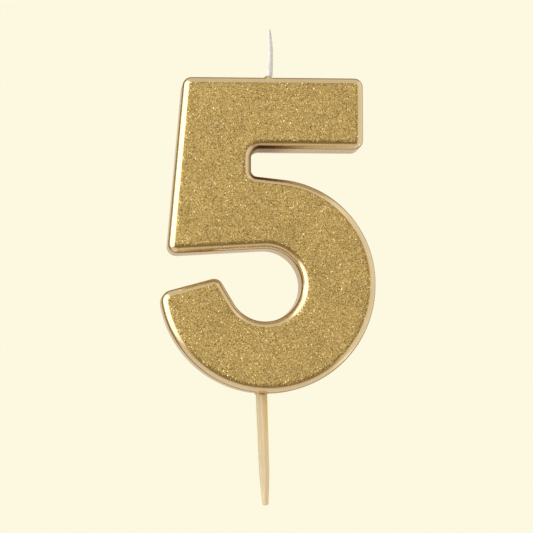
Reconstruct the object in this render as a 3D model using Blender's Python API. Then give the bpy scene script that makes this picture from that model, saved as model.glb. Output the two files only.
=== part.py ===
"""Number birthday candle: a cast wax numeral five in a gold coat, on a wooden pick.

Frame: +Z is up, +X is to the right and the face looks along -Y. The origin is where the
pick leaves the underside of the numeral, on the surface of the cake it is pushed into.
Units are metres.
"""
import math

import bmesh
import bpy
from mathutils import Vector

MM = 0.001

# Numeral outline, seen from the front. Heights stack up: bowl, notch, bar.
BOWL_RADIUS = 24.11 * MM         # lower arc, from the terminal round to the right side
BOWL_TOP_RADIUS = 23.15 * MM     # upper arc, from the right side to the notch
BOWL_STRAIGHT = 0.55 * MM        # upright run between the bowl's lower and upper arcs
BOWL_CENTRE_X = 1.34 * MM
COUNTER_RADIUS = 8.14 * MM
COUNTER_SHIFT_X = -0.63 * MM     # counter centre from the bowl centre
COUNTER_SHIFT_Z = -0.05 * MM
NOTCH_GAP = 6.72 * MM            # from the top of the bowl to the underside of the bar
BAR_HEIGHT = 16.03 * MM
BAR_REACH = 21.48 * MM           # bar end, right of the bowl centre
NOTCH_WALL_REACH = 3.76 * MM     # notch wall, left of the bowl centre
STEM_REACH = 18.90 * MM          # top left corner, left of the bowl centre
TERMINAL_RISE = 4.69 * MM        # terminal line above the bowl centre, at the centre's X

STEM_LEAN = math.radians(5.18)
STEM_FOOT_SLOPE = math.radians(3.33)
TERMINAL_SLOPE = math.radians(15.3)
TERMINAL_SIDE_STEEPNESS = math.radians(59.5)
NOTCH_FLOOR_SLOPE = math.radians(6.3)

# Corner roundings of the outline
STEM_FOOT_CORNER = 2.1 * MM
TERMINAL_INNER_CORNER = 2.1 * MM
TERMINAL_OUTER_CORNER = 2.5 * MM
NOTCH_LOWER_CORNER = 1.4 * MM
NOTCH_UPPER_CORNER = 2.1 * MM
BAR_LOWER_CORNER = 2.1 * MM
BAR_UPPER_CORNER = 2.0 * MM
TOP_LEFT_CORNER = 2.0 * MM
SMALLEST_CORNER = 0.15 * MM      # what a rounding shrinks to on an inset outline

# Front to back
DEPTH = 10.0 * MM
RIM_RADIUS = 2.4 * MM            # rounded rim between the face and the side wall
RIM_START = math.radians(25.0)   # the rim meets the flat face at this slope
MOULD_DRAFT = 0.08 * MM          # the back is this much wider than the front, all round
BACK_EDGE = 0.3 * MM             # small break of the back edge

# Layers and clearances
FIT_GAP = 0.3 * MM
COAT_WALL = 0.4 * MM
GLITTER_THICKNESS = 0.3 * MM
GLITTER_LAND = 0.2 * MM          # flat strip of the coat between its rim and the glitter

# Wick
WICK_X = 2.06 * MM
WICK_RADIUS = 0.25 * MM
WICK_LENGTH_OUT = 11.6 * MM      # above the top of the numeral
WICK_COVER = 4.4 * MM            # numeral left under the wick, over the notch
WICK_FIT_GAP = 0.15 * MM
WICK_WAX_FOOT_RADIUS = 0.74 * MM
WICK_WAX_TIP_RADIUS = 0.50 * MM
WICK_TIP_BARE = 0.25 * MM        # braid that stands out of its wax at the tip
BEAD_RADIUS = 1.15 * MM
BEAD_RISE = 0.45 * MM

# Pick
PICK_RADIUS = 1.27 * MM
PICK_LENGTH_OUT = 24.9 * MM      # below the numeral
PICK_COVER = 3.5 * MM            # numeral left between the pick's end and the counter
PICK_LEAN = math.radians(2.0)    # the tip stands to the right
PICK_NECK_RADIUS = 1.15 * MM     # where the point starts
PICK_POINT_LENGTH = 7.5 * MM
PICK_TIP_RADIUS = 0.66 * MM
PICK_TIP_ROUNDING = 0.35 * MM
COLLAR_WALL = 0.5 * MM
COLLAR_DROP = 0.25 * MM          # how far the collar hangs below the numeral

# Fineness of curves
ARC_STEP = math.radians(7.5)
CORNER_STEP = math.radians(18.0)
TURN_STEPS = 20
RIM_STEPS = 5
BEAD_STEPS = 5

# Places that follow from the sizes above
BOWL_LOW_CENTRE = Vector((BOWL_CENTRE_X, BOWL_RADIUS))
BOWL_HIGH_CENTRE = BOWL_LOW_CENTRE + Vector((BOWL_RADIUS - BOWL_TOP_RADIUS, BOWL_STRAIGHT))
COUNTER_CENTRE = BOWL_LOW_CENTRE + Vector((COUNTER_SHIFT_X, COUNTER_SHIFT_Z))
BAR_UNDERSIDE_Z = BOWL_HIGH_CENTRE.y + BOWL_TOP_RADIUS + NOTCH_GAP
TOP_Z = BAR_UNDERSIDE_Z + BAR_HEIGHT
FRONT_Y = -DEPTH / 2
BACK_Y = DEPTH / 2
RIM_WIDTH = RIM_RADIUS * (1.0 - math.sin(RIM_START))
RIM_DEPTH = RIM_RADIUS * math.cos(RIM_START)


def clear_scene():
    """Remove every object that the file holds."""
    for item in list(bpy.data.objects):
        bpy.data.objects.remove(item, do_unlink=True)


def make_material(name, colour, roughness, metallic):
    """One Principled material."""
    material = bpy.data.materials.new(name)
    material.use_nodes = True
    shader = material.node_tree.nodes["Principled BSDF"]
    shader.inputs["Base Color"].default_value = (*colour, 1.0)
    shader.inputs["Roughness"].default_value = roughness
    shader.inputs["Metallic"].default_value = metallic
    return material


# The outline is walked anticlockwise as seen from the front, with the wax on the left.
# A side is a line (a point and a heading) or an arc (a centre, a radius and a turn: 1 with
# the wax inside the circle, -1 with the wax outside it).

def line_side(point, heading):
    return {"kind": "line", "point": Vector(point), "heading": heading}


def arc_side(centre, radius, turn):
    return {"kind": "arc", "centre": Vector(centre), "radius": radius, "turn": turn}


def direction(heading):
    return Vector((math.cos(heading), math.sin(heading)))


def moved_out(side, distance):
    """The same side moved outwards, away from the wax."""
    if side["kind"] == "line":
        outward = direction(side["heading"] - math.pi / 2)
        return line_side(side["point"] + outward * distance, side["heading"])
    radius = side["radius"] + side["turn"] * distance
    return arc_side(side["centre"], radius, side["turn"])


def crossing(first, second, near):
    """Where two sides meet: the crossing closest to a given point."""
    if first["kind"] == "arc":
        first, second = second, first
    start, along = first["point"], direction(first["heading"])
    if second["kind"] == "line":
        across = direction(second["heading"])
        gap = second["point"] - start
        return start + along * (gap.cross(across) / along.cross(across))
    centre = second["centre"]
    foot = start + along * (centre - start).dot(along)
    reach = math.sqrt(second["radius"] ** 2 - (foot - centre).length_squared)
    return min((foot + along * reach, foot - along * reach), key=lambda p: (p - near).length)


def touching_point(side, point):
    """The point of a side that is closest to a given point."""
    if side["kind"] == "line":
        along = direction(side["heading"])
        return side["point"] + along * (point - side["point"]).dot(along)
    return side["centre"] + (point - side["centre"]).normalized() * side["radius"]


def swept_points(centre, start, end, turn, count):
    """Points on the arc from start to end, both included."""
    first = start - centre
    last = end - centre
    begin = math.atan2(first.y, first.x)
    sweep = (math.atan2(last.y, last.x) - begin) * turn % (2 * math.pi)
    radius = first.length
    return [centre + direction(begin + turn * sweep * i / count) * radius for i in range(count + 1)]


def numeral_sides():
    """The sides of the five, each with the rounding at its far end (None where it runs on
    smoothly into the next side) and, for a rounding, 1 on an outer corner and -1 on an
    inner one."""
    corner_x = BOWL_CENTRE_X - STEM_REACH
    stem_foot = COUNTER_CENTRE + direction(math.pi / 2 + STEM_FOOT_SLOPE) * COUNTER_RADIUS
    terminal_foot = COUNTER_CENTRE + direction(math.pi + math.pi / 2 - TERMINAL_SIDE_STEEPNESS
                                               ) * COUNTER_RADIUS
    floor_end = BOWL_HIGH_CENTRE + direction(math.pi / 2 - NOTCH_FLOOR_SLOPE) * BOWL_TOP_RADIUS
    terminal = BOWL_LOW_CENTRE + Vector((0.0, TERMINAL_RISE))
    up, left = math.pi / 2, math.pi
    return [
        (line_side((corner_x, TOP_Z), -up - STEM_LEAN), STEM_FOOT_CORNER, 1),
        (line_side(stem_foot, STEM_FOOT_SLOPE), None, 0),
        (arc_side(COUNTER_CENTRE, COUNTER_RADIUS, -1), None, 0),
        (line_side(terminal_foot, left - TERMINAL_SIDE_STEEPNESS), TERMINAL_INNER_CORNER, 1),
        (line_side(terminal, left + TERMINAL_SLOPE), TERMINAL_OUTER_CORNER, 1),
        (arc_side(BOWL_LOW_CENTRE, BOWL_RADIUS, 1), None, 0),
        (line_side(BOWL_LOW_CENTRE + Vector((BOWL_RADIUS, 0.0)), up), None, 0),
        (arc_side(BOWL_HIGH_CENTRE, BOWL_TOP_RADIUS, 1), None, 0),
        (line_side(floor_end, left - NOTCH_FLOOR_SLOPE), NOTCH_LOWER_CORNER, -1),
        (line_side((BOWL_CENTRE_X - NOTCH_WALL_REACH, 0.0), up), NOTCH_UPPER_CORNER, -1),
        (line_side((0.0, BAR_UNDERSIDE_Z), 0.0), BAR_LOWER_CORNER, 1),
        (line_side((BOWL_CENTRE_X + BAR_REACH, 0.0), up), BAR_UPPER_CORNER, 1),
        (line_side((0.0, TOP_Z), left), TOP_LEFT_CORNER, 1),
    ]


def joint_points(side, after, rounding, bend, offset, count):
    """The points where one side of the moved outline turns into the next."""
    if rounding is None:
        arc = side if side["kind"] == "arc" else after
        line = after if side["kind"] == "arc" else side
        return [touching_point(moved_out(line, offset), arc["centre"])]
    radius = max(rounding + bend * offset, SMALLEST_CORNER)
    near = crossing(side, after, Vector((BOWL_CENTRE_X - BOWL_RADIUS, BOWL_RADIUS)))
    inset = offset - bend * radius
    centre = crossing(moved_out(side, inset), moved_out(after, inset), near)
    start = touching_point(moved_out(side, offset), centre)
    end = touching_point(moved_out(after, offset), centre)
    return swept_points(centre, start, end, bend, count)


def outline(offset):
    """The five's outline moved outwards by an offset. Every offset gives as many points."""
    sides = numeral_sides()
    joints = []
    for index, (side, rounding, bend) in enumerate(sides):
        after = sides[(index + 1) % len(sides)][0]
        count = 0 if rounding is None else math.ceil(math.pi / 2 / CORNER_STEP)
        joints.append(joint_points(side, after, rounding, bend, offset, count))
    points = []
    for index, (side, _rounding, _bend) in enumerate(sides):
        start, end = joints[index - 1][-1], joints[index][0]
        if side["kind"] == "arc":
            base_sweep = arc_sweep(side, index, sides)
            steps = math.ceil(base_sweep / ARC_STEP)
            points += swept_points(side["centre"], start, end, side["turn"], steps)[1:-1]
        points += joints[index]
    return points


def arc_sweep(side, index, sides):
    """The angle that an arc side turns through on the outline itself."""
    before, rounding_before, bend_before = sides[index - 1]
    after, rounding, bend = sides[(index + 1) % len(sides)][0], sides[index][1], sides[index][2]
    start = joint_points(before, side, rounding_before, bend_before, 0.0, 1)[-1]
    end = joint_points(side, after, rounding, bend, 0.0, 1)[0]
    first, last = start - side["centre"], end - side["centre"]
    sweep = math.atan2(last.y, last.x) - math.atan2(first.y, first.x)
    return sweep * side["turn"] % (2 * math.pi)


def link(name, mesh, material):
    """Put a mesh into the scene as a named object with one material."""
    mesh.materials.append(material)
    item = bpy.data.objects.new(name, mesh)
    bpy.context.scene.collection.objects.link(item)
    return item


def finished_mesh(name, shape):
    """Turn a bmesh into a mesh whose faces point outwards."""
    bmesh.ops.recalc_face_normals(shape, faces=shape.faces)
    bmesh.ops.triangulate(shape, faces=[face for face in shape.faces if len(face.verts) > 4])
    mesh = bpy.data.meshes.new(name)
    shape.to_mesh(mesh)
    shape.free()
    return mesh


def numeral_block(name, layers, material):
    """A solid five: outlines with the given offsets stand at the given depths, front to
    back, and flat caps close both ends."""
    shape = bmesh.new()
    rings = []
    for offset, y in layers:
        rings.append([shape.verts.new((point.x, y, point.y)) for point in outline(offset)])
    for near, far in zip(rings, rings[1:]):
        for i, vertex in enumerate(near):
            j = (i + 1) % len(near)
            shape.faces.new((vertex, near[j], far[j], far[i]))
    shape.faces.new(rings[0])
    shape.faces.new(rings[-1])
    return link(name, finished_mesh(name, shape), material)


def turned(name, profile, material, closed=False):
    """Spin a profile of (radius, height) points about the Z axis. A closed profile is a
    ring's section; an open one starts and ends on the axis."""
    shape = bmesh.new()
    verts = [shape.verts.new((radius, 0.0, height)) for radius, height in profile]
    pairs = list(zip(verts, verts[1:]))
    if closed:
        pairs.append((verts[-1], verts[0]))
    edges = [shape.edges.new(pair) for pair in pairs]
    bmesh.ops.spin(shape, geom=verts + edges, cent=(0, 0, 0), axis=(0, 0, 1),
                   angle=2 * math.pi, steps=TURN_STEPS, use_merge=True, use_duplicate=False)
    bmesh.ops.remove_doubles(shape, verts=shape.verts, dist=0.001 * MM)
    mesh = finished_mesh(name, shape)
    item = link(name, mesh, material)
    mesh.shade_smooth()
    mesh.set_sharp_from_angle(angle=math.radians(40.0))
    return item


def cutter(item):
    """Mark an object as a cutter, which isn't a piece of the candle."""
    item.hide_render = True
    item.display_type = "WIRE"
    return item


def cut(item, tool):
    """Cut a tool's shape out of a piece."""
    modifier = item.modifiers.new("cut " + tool.name, "BOOLEAN")
    modifier.operation = "DIFFERENCE"
    modifier.solver = "EXACT"
    modifier.object = tool


def straight_cutter(name, radius, low, high, lean=0.0):
    """A round cutter that stands on the Z axis, or leans from it about the origin."""
    material = bpy.data.materials.get("wax")
    item = cutter(turned(name, [(0.0, low), (radius, low), (radius, high), (0.0, high)], material))
    item.rotation_euler = (0.0, -lean, 0.0)
    return item


def rim_layers():
    """Offsets and depths along the coat's rounded rim, from its flat face to its side wall."""
    layers = []
    for step in range(RIM_STEPS + 1):
        slope = RIM_START + (math.pi / 2 - RIM_START) * step / RIM_STEPS
        layers.append((RIM_RADIUS * (math.sin(slope) - 1.0),
                       FRONT_Y + RIM_DEPTH - RIM_RADIUS * math.cos(slope)))
    return layers


def cavity_layers(gap):
    """The hollow of the coat with gap 0, or the wax that fills it with a clearance gap."""
    corner = gap * (math.sqrt(2.0) - 1.0)
    front = FRONT_Y + GLITTER_THICKNESS + FIT_GAP + COAT_WALL
    chamfer = RIM_WIDTH + GLITTER_LAND - COAT_WALL
    back = BACK_Y - COAT_WALL - gap
    return [
        (-RIM_WIDTH - GLITTER_LAND - corner, front + gap),
        (-COAT_WALL - gap, front + chamfer + corner),
        (MOULD_DRAFT - COAT_WALL - gap, back),
    ]


def make_gold_coat(material):
    """The gold lacquer: a thin shell round the wax, open at the wick and the pick, with a
    shallow bed in its face for the glitter."""
    bed = -RIM_WIDTH - GLITTER_LAND
    layers = [(bed, FRONT_Y + GLITTER_THICKNESS + FIT_GAP), (bed, FRONT_Y)]
    layers += rim_layers()
    layers.append((MOULD_DRAFT, BACK_Y - BACK_EDGE))
    layers.append((MOULD_DRAFT - BACK_EDGE, BACK_Y))
    coat = numeral_block("gold_coat", layers, material)
    hollow = cutter(numeral_block("coat_hollow", cavity_layers(0.0), material))
    cut(coat, hollow)
    opening = BEAD_RADIUS + FIT_GAP
    wick_opening = straight_cutter("wick_opening", opening, TOP_Z - 3 * COAT_WALL, TOP_Z + FIT_GAP)
    wick_opening.location = (WICK_X, 0.0, 0.0)
    cut(coat, wick_opening)
    seat = collar_outer_radius() + FIT_GAP
    cut(coat, straight_cutter("pick_opening", seat, -FIT_GAP * 2, 3 * COAT_WALL, PICK_LEAN))
    return coat


def make_wax_core(material):
    """The cast wax: it fills the coat, with a hole for the wick and a socket for the pick."""
    core = numeral_block("wax_core", cavity_layers(FIT_GAP), material)
    wick_hole = straight_cutter("wick_hole", WICK_RADIUS + FIT_GAP, wick_bottom() - FIT_GAP,
                                TOP_Z + FIT_GAP)
    wick_hole.location = (WICK_X, 0.0, 0.0)
    cut(core, wick_hole)
    cut(core, straight_cutter("pick_socket", PICK_RADIUS + FIT_GAP, -FIT_GAP,
                              pick_top() + FIT_GAP, PICK_LEAN))
    return core


def make_glitter_face(material):
    """The flat layer of glitter in the coat's bed, flush with the strip round it."""
    edge = -RIM_WIDTH - GLITTER_LAND - FIT_GAP
    return numeral_block("glitter_face", [(edge, FRONT_Y), (edge, FRONT_Y + GLITTER_THICKNESS)],
                         material)


def wick_bottom():
    return BAR_UNDERSIDE_Z + WICK_COVER


def wick_top():
    return TOP_Z + WICK_LENGTH_OUT


def pick_top():
    return COUNTER_CENTRE.y - COUNTER_RADIUS - PICK_COVER


def collar_outer_radius():
    return PICK_RADIUS + FIT_GAP + COLLAR_WALL


def make_wick_braid(material):
    """The cotton braid, from inside the bar to its tip."""
    tip = wick_top()
    fray = WICK_RADIUS / 2
    profile = [(0.0, wick_bottom()), (WICK_RADIUS, wick_bottom()), (WICK_RADIUS, tip - fray),
               (fray, tip), (0.0, tip)]
    braid = turned("wick_braid", profile, material)
    braid.location = (WICK_X, 0.0, 0.0)
    return braid


def make_wick_wax(material):
    """The wax sleeve that stiffens the braid above the numeral, wider at its foot."""
    bore = WICK_RADIUS + WICK_FIT_GAP
    foot = TOP_Z + BEAD_RISE + WICK_FIT_GAP
    tip = wick_top() - WICK_TIP_BARE
    flare = 3.0 * MM
    waist = (WICK_WAX_FOOT_RADIUS + WICK_WAX_TIP_RADIUS) / 2
    profile = [(bore, foot), (WICK_WAX_FOOT_RADIUS, foot), (waist, foot + flare),
               (WICK_WAX_TIP_RADIUS, tip), (bore, tip)]
    sleeve = turned("wick_wax", profile, material, closed=True)
    sleeve.location = (WICK_X, 0.0, 0.0)
    return sleeve


def make_wick_bead(material):
    """The bead of gold at the wick's foot, as deep as the coat's wall."""
    bore = WICK_RADIUS + WICK_FIT_GAP
    low = TOP_Z - COAT_WALL
    profile = [(bore, low), (BEAD_RADIUS, low), (BEAD_RADIUS, TOP_Z)]
    for step in range(1, BEAD_STEPS + 1):
        angle = math.pi / 2 * step / BEAD_STEPS
        radius = bore + (BEAD_RADIUS - bore) * math.cos(angle)
        profile.append((radius, TOP_Z + BEAD_RISE * math.sin(angle)))
    bead = turned("wick_bead", profile, material, closed=True)
    bead.location = (WICK_X, 0.0, 0.0)
    return bead


def make_pick(material):
    """The round wooden pick: a gentle taper, a longer point and a blunt tip."""
    neck = PICK_POINT_LENGTH - PICK_LENGTH_OUT
    tip = -PICK_LENGTH_OUT
    profile = [(0.0, pick_top()), (PICK_RADIUS, pick_top()), (PICK_RADIUS, 0.0),
               (PICK_NECK_RADIUS, neck), (PICK_TIP_RADIUS, tip + PICK_TIP_ROUNDING),
               (PICK_TIP_RADIUS - PICK_TIP_ROUNDING, tip), (0.0, tip)]
    pick = turned("pick", profile, material)
    pick.rotation_euler = (0.0, -PICK_LEAN, 0.0)
    return pick


def make_pick_collar(material):
    """The ring of lacquer that closes the coat's opening round the pick."""
    bore = PICK_RADIUS + FIT_GAP
    outer = collar_outer_radius()
    profile = [(bore, COAT_WALL), (outer, COAT_WALL), (outer, 0.0),
               ((outer + bore) / 2, -COLLAR_DROP), (bore, -COLLAR_DROP)]
    collar = turned("pick_collar", profile, material, closed=True)
    collar.rotation_euler = (0.0, -PICK_LEAN, 0.0)
    return collar


def main():
    clear_scene()
    wax = make_material("wax", (0.80, 0.71, 0.50), 0.45, 0.0)
    gold = make_material("gold_lacquer", (0.56, 0.39, 0.14), 0.25, 0.9)
    glitter = make_material("gold_glitter", (0.52, 0.35, 0.11), 0.45, 0.9)
    cotton = make_material("cotton", (0.80, 0.79, 0.74), 0.80, 0.0)
    clear_wax = make_material("wick_wax", (0.79, 0.79, 0.80), 0.35, 0.0)
    bamboo = make_material("bamboo", (0.76, 0.60, 0.34), 0.55, 0.0)
    make_wax_core(wax)
    make_gold_coat(gold)
    make_glitter_face(glitter)
    make_wick_braid(cotton)
    make_wick_wax(clear_wax)
    make_wick_bead(gold)
    make_pick(bamboo)
    make_pick_collar(gold)


main()
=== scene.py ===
"""Number birthday candle: the finished surfaces of a gold glitter five on a bamboo pick.

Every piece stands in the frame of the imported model: +Z up, +X to the right of the numeral and
the face towards -Y. Units are metres.
"""
import math

import bmesh
import bpy
from bpy.props import FloatProperty, FloatVectorProperty, IntProperty, PointerProperty
from mathutils import Matrix, Vector, noise
from mathutils.geometry import delaunay_2d_cdt


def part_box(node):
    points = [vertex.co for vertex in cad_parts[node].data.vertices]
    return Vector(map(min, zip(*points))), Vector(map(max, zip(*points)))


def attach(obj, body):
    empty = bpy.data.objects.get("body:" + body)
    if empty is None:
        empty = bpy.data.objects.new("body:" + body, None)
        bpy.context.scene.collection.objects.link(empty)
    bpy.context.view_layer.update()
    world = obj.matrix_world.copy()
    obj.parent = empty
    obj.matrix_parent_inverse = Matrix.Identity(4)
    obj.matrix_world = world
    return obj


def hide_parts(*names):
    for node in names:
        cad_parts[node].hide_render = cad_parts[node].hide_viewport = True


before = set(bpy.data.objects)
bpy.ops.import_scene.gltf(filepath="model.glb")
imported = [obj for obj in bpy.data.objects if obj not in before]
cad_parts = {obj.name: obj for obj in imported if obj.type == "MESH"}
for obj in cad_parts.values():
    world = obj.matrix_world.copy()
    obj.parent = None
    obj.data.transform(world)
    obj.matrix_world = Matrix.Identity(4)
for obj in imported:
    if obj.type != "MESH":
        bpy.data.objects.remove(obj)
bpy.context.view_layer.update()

bl_info = {
    "name": "Number Candle",
    "version": (1, 0, 0),
    "blender": (4, 5, 0),
    "location": "View3D > Sidebar > Candle",
    "description": "Makes a glitter numeral candle with its wick and its wooden pick",
    "category": "Add Mesh",
}

MM = 0.001

COAT_LOW, COAT_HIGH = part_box("gold_coat")
BRAID_LOW, BRAID_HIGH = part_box("wick_braid")
BEAD_LOW, BEAD_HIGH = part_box("wick_bead")
PICK_LOW, PICK_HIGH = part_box("pick")

FRONT_Y = COAT_LOW.y
BACK_Y = COAT_HIGH.y
TOP_Z = COAT_HIGH.z
WICK_X = (BRAID_LOW.x + BRAID_HIGH.x) / 2
WICK_RADIUS = (BRAID_HIGH.x - BRAID_LOW.x) / 2


# ---- sizes and colours

def length(name, description, millimetres):
    """A length that a user may change, given here in millimetres."""
    return FloatProperty(name=name, description=description, default=millimetres * MM,
                         unit="LENGTH", precision=5)


def angle(name, description, degrees):
    """An angle that a user may change, given here in degrees."""
    return FloatProperty(name=name, description=description, default=math.radians(degrees),
                         unit="ROTATION", precision=4)


def share(name, description, value, highest=1.0):
    """A plain factor."""
    return FloatProperty(name=name, description=description, default=value, min=0.0, max=highest)


def colour(name, description, red, green, blue):
    """A linear colour."""
    return FloatVectorProperty(name=name, description=description, default=(red, green, blue),
                               subtype="COLOR", size=3, min=0.0, max=1.0)


class NumeralSizes(bpy.types.PropertyGroup):
    """The outline and the rounding of the cast numeral, as the wax was moulded."""
    bowl_radius: length("Bowl radius", "Radius of the bowl's lower arc", 24.11)
    bowl_top_radius: length("Bowl top radius", "Radius of the bowl's upper arc", 23.15)
    bowl_straight: length("Bowl straight", "Upright run on the bowl's right side", 0.55)
    bowl_x: length("Bowl centre", "Bowl centre to the right of the pick", 1.34)
    counter_radius: length("Counter radius", "Radius of the open centre", 8.14)
    counter_x: length("Counter shift across", "Counter centre from the bowl centre", -0.63)
    counter_z: length("Counter shift up", "Counter centre above the bowl centre", -0.05)
    bar_height: length("Bar height", "Height of the bar", 16.03)
    bar_reach: length("Bar reach", "Bar end, right of the bowl centre", 21.48)
    notch_reach: length("Notch reach", "Notch wall, left of the bowl centre", 3.76)
    stem_reach: length("Stem reach", "Top left corner, left of the bowl centre", 18.90)
    terminal_rise: length("Terminal rise", "Terminal line above the bowl centre", 4.69)
    stem_lean: angle("Stem lean", "Slope of the stem's left side", 5.18)
    stem_foot_slope: angle("Stem foot slope", "Slope of the stem's underside", 3.33)
    terminal_slope: angle("Terminal slope", "Slope of the bowl's open end", 15.3)
    terminal_side: angle("Terminal side", "Steepness of the open end's inner side", 59.5)
    notch_floor_slope: angle("Notch floor slope", "Slope of the notch's floor", 6.3)
    rim_radius: length("Rim radius", "Radius of the rounded rim round the face", 2.4)
    rim_start: angle("Rim start", "Slope at which the rim meets the face", 25.0)
    draft: length("Mould draft", "How much wider the back is, all round", 0.08)
    back_edge: length("Back edge", "Rounding of the back edge", 0.3)
    wall: length("Coat wall", "Thickness of the gold coat", 0.4)
    crown_drop: length("Crown drop", "How far the face falls towards its rim", 0.13)
    crown_width: length("Crown width", "Width of the zone in which it falls", 0.6)
    sink: length("Back sink", "How far the back has sunk as the wax cooled", 0.20)
    lip: length("Back lip", "Width of the lip round the sunk back", 3.2)
    waviness: length("Waviness", "Height of the soft waves that cast wax sets with", 0.022)


class GlitterSizes(bpy.types.PropertyGroup):
    """The glitter on the face."""
    flake: length("Flake size", "Width of one hexagonal flake", 0.30)
    density: FloatProperty(name="Flake density", description="Flakes on a square metre of face",
                           default=1.5e7, min=0.0)
    tilt: angle("Flake tilt", "Most that a flake leans out of the film", 25.0)
    seed: IntProperty(name="Flake seed", description="Seed of the flakes' places", default=7)
    gold: colour("Glitter gold", "Metal of the flakes and the film", 0.665, 0.515, 0.175)
    bronze: colour("Glitter bronze", "Darker flakes", 0.43, 0.30, 0.085)
    pale: colour("Glitter pale", "Paler flakes", 0.93, 0.82, 0.50)


class LacquerSizes(bpy.types.PropertyGroup):
    """The smooth gold lacquer of the rim, the sides and the back."""
    gold: colour("Lacquer gold", "Metal of the lacquer", 0.73, 0.60, 0.295)
    shade: colour("Lacquer shade", "Where the lacquer is thicker", 0.50, 0.285, 0.085)
    # painted shade: this dark colour darkens the lacquer in the notch's inner corner, standing in for
    # the shade there
    deep: colour("Painted corner shade", "Where the lacquer has run together", 0.26, 0.12, 0.035)
    metal_roughness: share("Metal roughness", "Roughness of the metal under the clear", 0.30)
    clear_roughness: share("Clear roughness", "Roughness of the clear coat", 0.05)


class WickSizes(bpy.types.PropertyGroup):
    """The braided wick, its wax and the bead at its foot."""
    strand: length("Strand radius", "Radius of one cotton strand", 0.105)
    lay: length("Braid lay", "Height in which a strand comes back to its place", 1.5)
    bow: length("Bow", "How far the wick bows to the right", 0.16)
    foot_shift: length("Foot shift", "How far the wax foot spreads to the left", 0.26)
    foot_radius: length("Foot radius", "Radius of the wax at the wick's foot", 0.82)
    waist_radius: length("Waist radius", "Radius of the wax along most of the wick", 0.60)
    tip_radius: length("Tip radius", "Radius of the wax at the tip", 0.20)
    taper: length("Tip taper", "Length over which the wax narrows to the tip", 5.2)
    bead_shift: length("Bead shift", "How far the bead lies to the left of the wick", 0.30)
    bead_rise: length("Bead rise", "How high the bead climbs the wick", 0.85)
    lump: share("Bead lump", "How uneven the bead is", 0.14)
    cotton: colour("Cotton", "Bleached cotton", 0.88, 0.89, 0.90)
    wax: colour("Wick wax", "Cool white wax", 0.84, 0.89, 0.98)


class PickSizes(bpy.types.PropertyGroup):
    """The turned bamboo pick and the lacquer ring round it."""
    radius: length("Pick radius", "Radius at the numeral", 1.27)
    neck_radius: length("Neck radius", "Radius where the point starts", 1.15)
    tip_radius: length("Tip radius", "Radius at the blunt tip", 0.66)
    tip_rounding: length("Tip rounding", "Rounding of the blunt tip", 0.38)
    point: length("Point length", "Length of the narrowing point", 7.5)
    lean: angle("Lean", "How far the pick leans to the right at its tip", 2.0)
    collar_wall: length("Collar wall", "Width of the lacquer ring", 0.25)
    collar_drop: length("Collar drop", "How far the ring runs down the pick", 0.32)
    wood: colour("Bamboo", "Pale inner bamboo", 0.91, 0.79, 0.54)
    fibre: colour("Fibre", "Darker fibre bundles", 0.74, 0.52, 0.27)
    # painted shade: this grey darkens the pick's left side, against the strong light from the left
    painted_left_shade: colour("Rind side", "Greyer wood on the other side", 0.44, 0.42, 0.28)
    # partly wood near the skin, partly painted light that brightens and warms the pick's right side
    skin: colour("Skin side", "Warmer wood near the culm's skin", 0.93, 0.70, 0.22)


class StageSizes(bpy.types.PropertyGroup):
    """The camera and the plain pale studio."""
    camera_side: length("Camera to the side", "Camera from the candle's axis, to the left", -40.0)
    camera_distance: length("Camera distance", "Camera in front of the candle", 520.0)
    camera_height: length("Camera height", "Camera above the origin", -8.0)
    aim_x: length("Aim across", "Point that the camera looks at", 0.83)
    aim_z: length("Aim height", "Point that the camera looks at", 28.05)
    view_width: length("View width", "Width that fills the frame at the face", 118.4)
    roll: angle("Camera roll", "Turn of the camera about its own view", -0.14)
    floor_z: length("Floor", "Height of the floor below the candle", -150.0)
    paper: colour("Paper", "Pale cream of the floor and the backdrop", 0.983, 0.945, 0.745)


GROUPS = {
    "candle_numeral": NumeralSizes,
    "candle_glitter": GlitterSizes,
    "candle_lacquer": LacquerSizes,
    "candle_wick": WickSizes,
    "candle_pick": PickSizes,
    "candle_stage": StageSizes,
}


# ---- outline of the five

ARC_STEP = math.radians(2.0)
CORNER_STEP = math.radians(10.0)
LINE_STEP = 0.9 * MM
SMALLEST_CORNER = 0.15 * MM
CORNERS = {     # roundings in millimetres
    "stem_foot": 2.1, "terminal_inner": 2.1, "terminal_outer": 2.5, "notch_lower": 1.4,
    "notch_upper": 2.1, "bar_lower": 2.1, "bar_upper": 2.0, "top_left": 2.0,
}


def heading(turn):
    return Vector((math.cos(turn), math.sin(turn)))


def line_side(point, turn):
    return {"kind": "line", "point": Vector(point), "turn": turn}


def arc_side(centre, radius, bend):
    return {"kind": "arc", "centre": Vector(centre), "radius": radius, "bend": bend}


def moved_out(side, distance):
    """The same side moved away from the wax."""
    if side["kind"] == "line":
        return line_side(side["point"] + heading(side["turn"] - math.pi / 2) * distance, side["turn"])
    return arc_side(side["centre"], side["radius"] + side["bend"] * distance, side["bend"])


def crossing(first, second, near):
    """Where two sides meet, at the crossing closest to a given point."""
    if first["kind"] == "arc":
        first, second = second, first
    start, along = first["point"], heading(first["turn"])
    if second["kind"] == "line":
        across = heading(second["turn"])
        return start + along * ((second["point"] - start).cross(across) / along.cross(across))
    foot = start + along * (second["centre"] - start).dot(along)
    reach = math.sqrt(second["radius"] ** 2 - (foot - second["centre"]).length_squared)
    return min((foot + along * reach, foot - along * reach), key=lambda p: (p - near).length)


def touching_point(side, point):
    """The point of a side that is closest to a given point."""
    if side["kind"] == "line":
        along = heading(side["turn"])
        return side["point"] + along * (point - side["point"]).dot(along)
    return side["centre"] + (point - side["centre"]).normalized() * side["radius"]


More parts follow.
